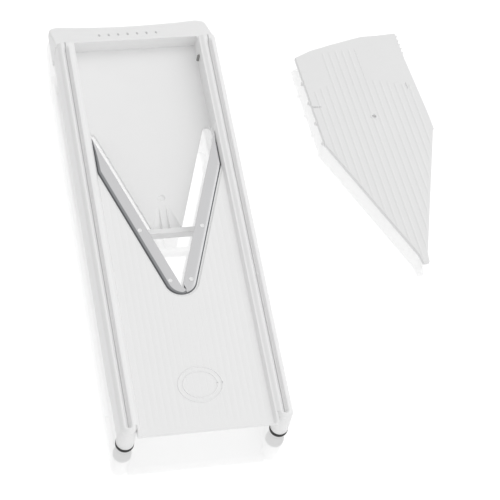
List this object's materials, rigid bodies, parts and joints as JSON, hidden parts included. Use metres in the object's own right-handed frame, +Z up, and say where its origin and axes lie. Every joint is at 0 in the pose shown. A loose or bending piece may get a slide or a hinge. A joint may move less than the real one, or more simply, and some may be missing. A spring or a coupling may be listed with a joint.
{
  "type": "mandoline slicer",
  "caption": "White plastic slicer with a V of two steel blades, guard tracks, sloping handle, feet, and a loose ribbed thickness insert lying beside it.",
  "frame": {"origin": "on the table, at the middle of the footprint of the slicer and the insert beside it", "axes": "+X across the slicer towards the insert, +Y along it from the feet to the handle, +Z up"},
  "size_m": [0.2941, 0.3734, 0.0318],
  "materials": {
    "frame_plastic": "white moulded ABS, satin gloss",
    "insert_plastic": "white moulded ABS, ribbed, slightly greyer than the frame",
    "catch_plastic": "white moulded acetal",
    "blade_steel": "stainless blade steel, ground",
    "spring_steel": "spring steel wire",
    "foot_rubber": "black moulded rubber"
  },
  "bodies": {
    "frame": {"frame_rail_left": "frame_plastic", "frame_rail_right": "frame_plastic", "frame_slide_deck": "frame_plastic", "frame_insert_bed": "frame_plastic", "frame_crossbar": "frame_plastic", "frame_blade_web_left": "frame_plastic", "frame_blade_web_right": "frame_plastic", "frame_handle": "frame_plastic", "frame_foot_left": "frame_plastic", "frame_foot_right": "frame_plastic", "foot_cap_left": "foot_rubber", "foot_cap_right": "foot_rubber", "blade_left": "blade_steel", "blade_right": "blade_steel", "blade_pin_left_lower": "frame_plastic", "blade_pin_left_upper": "frame_plastic", "blade_pin_right_lower": "frame_plastic", "blade_pin_right_upper": "frame_plastic", "catch_housing": "catch_plastic", "catch_spring": "spring_steel"},
    "catch": {"thickness_catch": "catch_plastic"},
    "insert": {"thickness_insert": "insert_plastic"}
  },
  "joints": [
    {"name": "catch_slide", "type": "slide", "parent": "frame", "child": "catch", "axis": [1, 0, 0], "range_m": [0, 0.0014], "stiffness_N_per_m": 400, "springref_m": -0.0005, "deforming": ["catch_spring"]},
    {"name": "insert_lift", "type": "slide", "parent": "frame", "child": "insert", "axis": [0, 0, 1], "range_m": [0, 0.06]}
  ]
}
